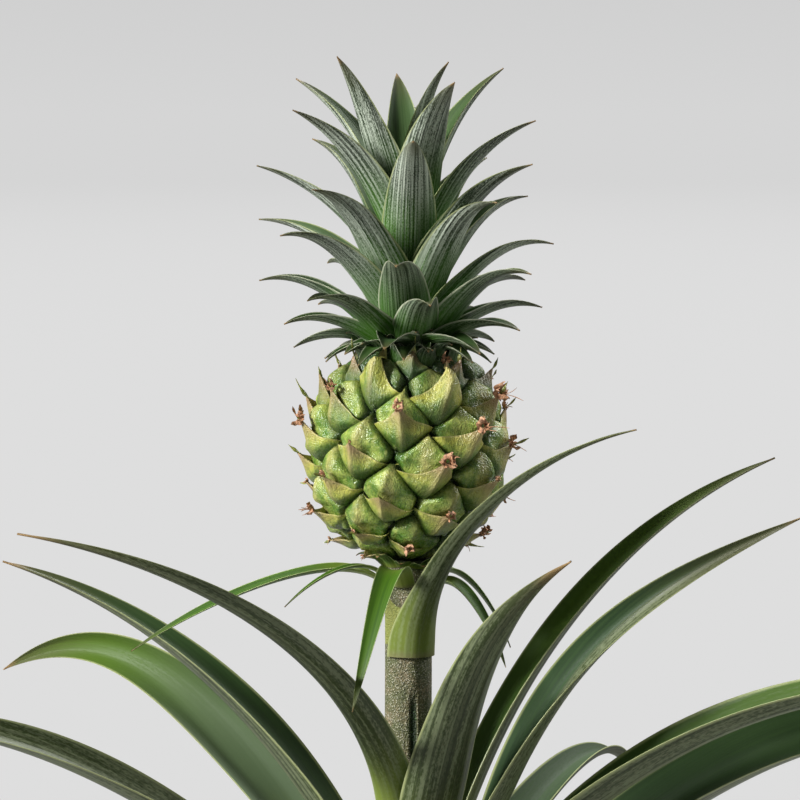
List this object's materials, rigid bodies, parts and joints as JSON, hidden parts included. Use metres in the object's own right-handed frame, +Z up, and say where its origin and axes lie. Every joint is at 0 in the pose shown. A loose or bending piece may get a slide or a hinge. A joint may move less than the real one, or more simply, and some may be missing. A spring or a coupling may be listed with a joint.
{
  "type": "potted pineapple plant",
  "caption": "Ornamental pineapple plant in a plain clay pot: a rosette of arching leaves and a stalk that carries one small fruit with its leafy crown.",
  "frame": {"origin": "centre of the pot's flat underside", "axes": "+Z up along the stem, -Y towards the plant's front as pictured, +X to the right of that view"},
  "size_m": [0.4192, 0.3322, 0.4502],
  "materials": {
    "pot": "matte",
    "soil": "matte",
    "stem": "matte",
    "fruit": "satin",
    "crown": "satin",
    "leaf": "satin",
    "stalk_leaf": "satin"
  },
  "bodies": {
    "root": {"pot": "pot", "soil": "soil", "stem": "stem", "fruit": "fruit", "crown": "crown", "rosette_leaf_01": "leaf", "rosette_leaf_02": "leaf", "rosette_leaf_03": "leaf", "rosette_leaf_04": "leaf", "rosette_leaf_05": "leaf", "rosette_leaf_06": "leaf", "rosette_leaf_07": "leaf", "rosette_leaf_08": "leaf", "rosette_leaf_09": "leaf", "rosette_leaf_10": "leaf", "rosette_leaf_11": "leaf", "rosette_leaf_12": "leaf", "rosette_leaf_13": "leaf", "rosette_leaf_14": "leaf", "rosette_leaf_15": "leaf", "rosette_leaf_16": "leaf", "rosette_leaf_17": "leaf", "rosette_leaf_18": "leaf", "rosette_leaf_19": "leaf", "rosette_leaf_20": "leaf", "rosette_leaf_21": "leaf", "clasping_leaf": "leaf", "stalk_leaf_01": "stalk_leaf", "stalk_leaf_02": "stalk_leaf", "stalk_leaf_03": "stalk_leaf", "stalk_leaf_04": "stalk_leaf", "stalk_leaf_05": "stalk_leaf", "stalk_leaf_06": "stalk_leaf"}
  },
  "joints": []
}
